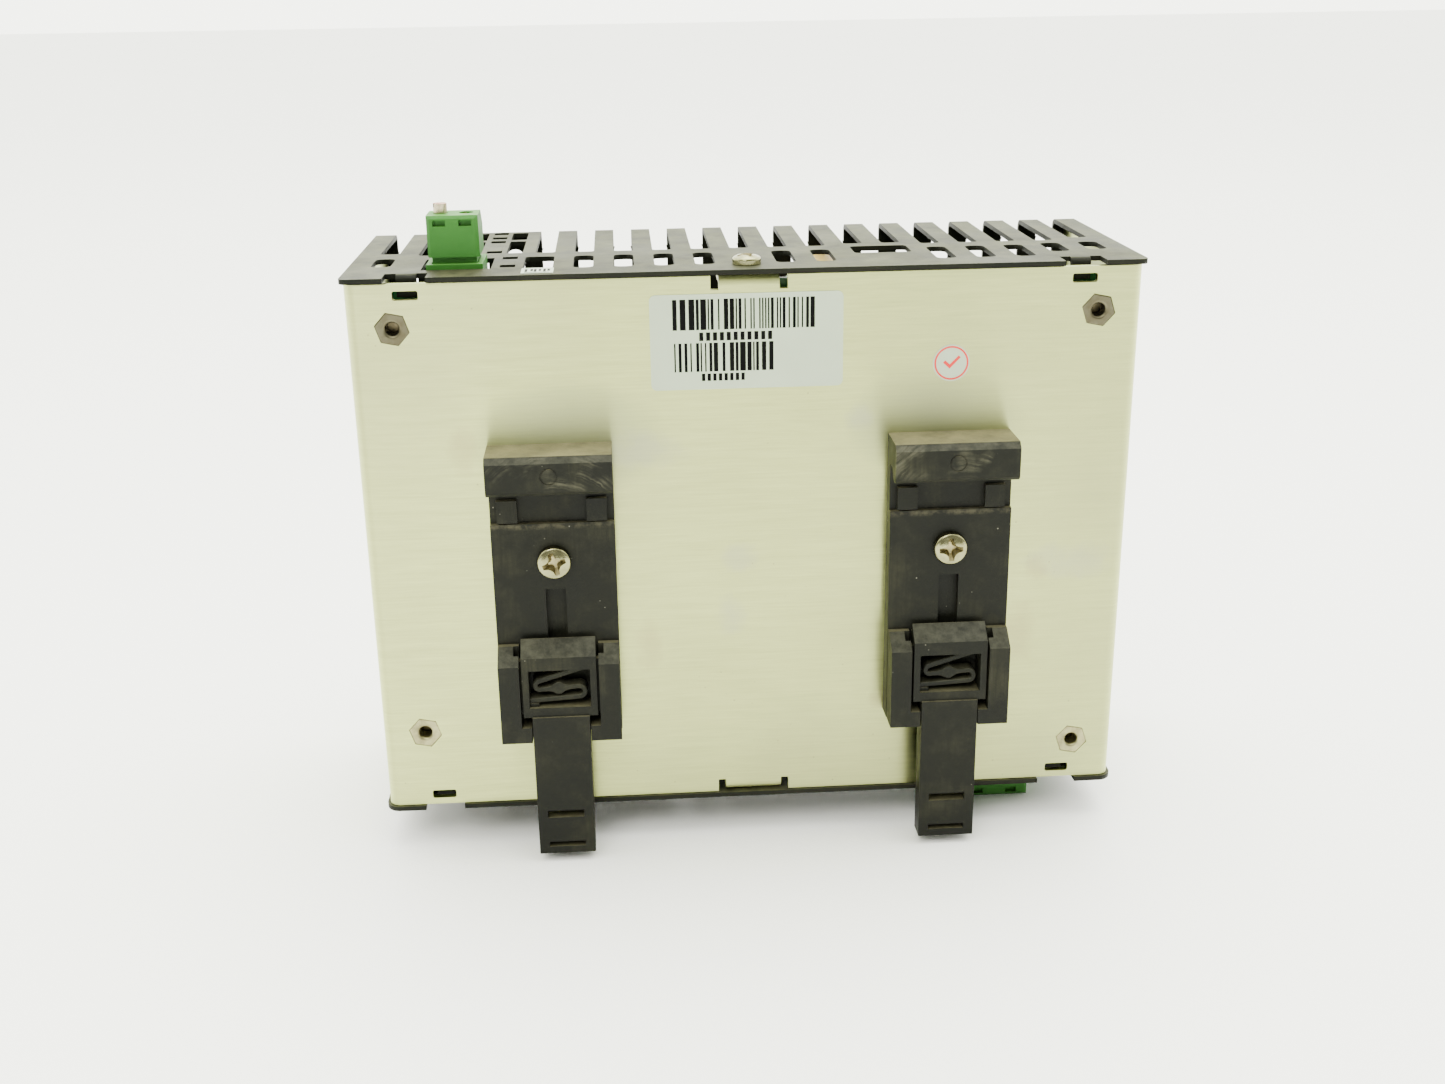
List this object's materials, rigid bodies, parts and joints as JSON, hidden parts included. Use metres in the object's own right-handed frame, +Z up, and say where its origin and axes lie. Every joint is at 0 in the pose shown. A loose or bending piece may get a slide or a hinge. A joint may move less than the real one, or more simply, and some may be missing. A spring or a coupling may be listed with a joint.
{
  "type": "din rail power supply",
  "caption": "Switch-mode power supply in a folded metal case with vent slots, pluggable screw terminals and two sprung feet for a 35 mm rail.",
  "frame": {"origin": "centre of the bounding box in plan, at the height of the plugs the unit stands on", "axes": "+X along the rail to the right as seen from the rail side, +Y from the rail side to the front, +Z up"},
  "size_m": [0.1588, 0.0674, 0.1358],
  "materials": {
    "chassis_aluminium": "brushed sheet, grain across the width",
    "cover_paint": "matte fine-textured powder coat",
    "screw_zinc": "bright zinc plated",
    "screw_nickel": "nickel plated with a warm tint",
    "standoff_steel": "plain pressed steel",
    "board": "glass-fibre laminate with green solder resist",
    "clear_film": "thin milky insulating film",
    "spacer_brass": "turned brass",
    "label_paper": "matte label film",
    "terminal_green": "moulded green plastic",
    "contact_tin": "tin plated contact",
    "clamp_steel": "zinc plated clamp",
    "clamp_screw_copper": "copper coloured slotted screw",
    "ferrite": "sintered dark grey ferrite",
    "winding_tape": "yellow tape over the winding",
    "winding_copper": "enamelled copper wire",
    "capacitor_can": "dark shrink sleeve on an aluminium can",
    "capacitor_can_green": "dark green shrink sleeve on an aluminium can",
    "core_coating": "epoxy coated ring core",
    "core_yellow": "yellow coated powder core",
    "heatsink_aluminium": "extruded aluminium",
    "semiconductor": "black epoxy with a metal tab",
    "fuse_glass": "ceramic tube with metal caps",
    "film_capacitor": "yellow potted box",
    "varistor_blue": "blue dipped disc",
    "trimmer_blue": "blue moulded body",
    "trimmer_rotor": "white moulded rotor",
    "led_green": "tinted lens",
    "foot_black": "dusty black moulded plastic"
  },
  "bodies": {
    "root": {"chassis": "chassis_aluminium", "cover": "cover_paint", "cover_screws": "screw_nickel", "clinch_standoffs": "standoff_steel", "board_screws": "screw_zinc", "main_board": "board", "insulation_sheet": "clear_film", "front_board": "board", "board_spacers": "spacer_brass", "labels": "label_paper", "signal_header": "terminal_green", "signal_header_pins": "contact_tin", "ac_header": "terminal_green", "ac_header_pins": "contact_tin", "dc_header": "terminal_green", "dc_header_pins": "contact_tin", "transformer_core": "ferrite", "transformer_winding": "winding_tape", "bulk_capacitors": "capacitor_can", "output_capacitors": "capacitor_can_green", "choke_core": "core_coating", "choke_windings": "winding_copper", "output_inductor": "core_yellow", "output_inductor_winding": "winding_copper", "primary_heatsink": "heatsink_aluminium", "primary_transistors": "semiconductor", "secondary_heatsink": "heatsink_aluminium", "secondary_diodes": "semiconductor", "heatsink_screws": "screw_zinc", "bridge_rectifier": "semiconductor", "fuse": "fuse_glass", "fuse_clips": "contact_tin", "x_capacitor": "film_capacitor", "varistor": "varistor_blue", "trim_pot_body": "trimmer_blue", "status_leds": "led_green", "left_foot_base": "foot_black", "left_latch_spring": "foot_black", "right_foot_base": "foot_black", "right_latch_spring": "foot_black", "foot_screws": "screw_nickel", "foot_nuts": "screw_zinc"},
    "left_latch": {"left_latch": "foot_black"},
    "right_latch": {"right_latch": "foot_black"},
    "signal_plug": {"signal_plug": "terminal_green", "signal_clamps": "clamp_steel"},
    "signal_screw_left": {"signal_clamp_screw_left": "clamp_screw_copper"},
    "signal_screw_right": {"signal_clamp_screw_right": "clamp_screw_copper"},
    "ac_plug": {"ac_plug": "terminal_green", "ac_clamps": "clamp_steel"},
    "dc_plug": {"dc_plug": "terminal_green", "dc_clamps": "clamp_steel"},
    "trimmer": {"trim_pot_rotor": "trimmer_rotor"},
    "ac_screw_1": {"ac_clamp_screw_1": "screw_zinc"},
    "ac_screw_2": {"ac_clamp_screw_2": "screw_zinc"},
    "ac_screw_3": {"ac_clamp_screw_3": "screw_zinc"},
    "dc_screw_1": {"dc_clamp_screw_1": "screw_zinc"},
    "dc_screw_2": {"dc_clamp_screw_2": "screw_zinc"},
    "dc_screw_3": {"dc_clamp_screw_3": "screw_zinc"},
    "dc_screw_4": {"dc_clamp_screw_4": "screw_zinc"}
  },
  "joints": [
    {"name": "left_latch_slide", "type": "slide", "parent": "root", "child": "left_latch", "axis": [0, 0, -1], "range_m": [0, 0.0022], "stiffness_N_per_m": 2500, "springref_m": -0.0008, "deforming": ["left_latch_spring"]},
    {"name": "right_latch_slide", "type": "slide", "parent": "root", "child": "right_latch", "axis": [0, 0, -1], "range_m": [0, 0.0022], "stiffness_N_per_m": 2500, "springref_m": -0.0008, "deforming": ["right_latch_spring"]},
    {"name": "signal_plug_pull", "type": "slide", "parent": "root", "child": "signal_plug", "axis": [0, 0, 1], "range_m": [0, 0.009]},
    {"name": "ac_plug_pull", "type": "slide", "parent": "root", "child": "ac_plug", "axis": [0, 0, -1], "range_m": [0, 0.009]},
    {"name": "dc_plug_pull", "type": "slide", "parent": "root", "child": "dc_plug", "axis": [0, 0, -1], "range_m": [0, 0.009]},
    {"name": "signal_screw_left_lift", "type": "slide", "parent": "signal_plug", "child": "signal_screw_left", "axis": [0, 0, 1], "range_m": [-0.0022, 0.0003]},
    {"name": "signal_screw_right_lift", "type": "slide", "parent": "signal_plug", "child": "signal_screw_right", "axis": [0, 0, 1], "range_m": [0, 0.0025]},
    {"name": "ac_screw_1_lift", "type": "slide", "parent": "ac_plug", "child": "ac_screw_1", "axis": [0, 0, -1], "range_m": [0, 0.0025]},
    {"name": "ac_screw_2_lift", "type": "slide", "parent": "ac_plug", "child": "ac_screw_2", "axis": [0, 0, -1], "range_m": [0, 0.0025]},
    {"name": "ac_screw_3_lift", "type": "slide", "parent": "ac_plug", "child": "ac_screw_3", "axis": [0, 0, -1], "range_m": [0, 0.0025]},
    {"name": "dc_screw_1_lift", "type": "slide", "parent": "dc_plug", "child": "dc_screw_1", "axis": [0, 0, -1], "range_m": [0, 0.0025]},
    {"name": "dc_screw_2_lift", "type": "slide", "parent": "dc_plug", "child": "dc_screw_2", "axis": [0, 0, -1], "range_m": [0, 0.0025]},
    {"name": "dc_screw_3_lift", "type": "slide", "parent": "dc_plug", "child": "dc_screw_3", "axis": [0, 0, -1], "range_m": [0, 0.0025]},
    {"name": "dc_screw_4_lift", "type": "slide", "parent": "dc_plug", "child": "dc_screw_4", "axis": [0, 0, -1], "range_m": [0, 0.0025]},
    {"name": "trimmer_turn", "type": "hinge", "parent": "root", "child": "trimmer", "pos_m": [-0.06, 0.0287, 0.0485], "axis": [0, 1, 0], "range_deg": [-135, 135]}
  ]
}
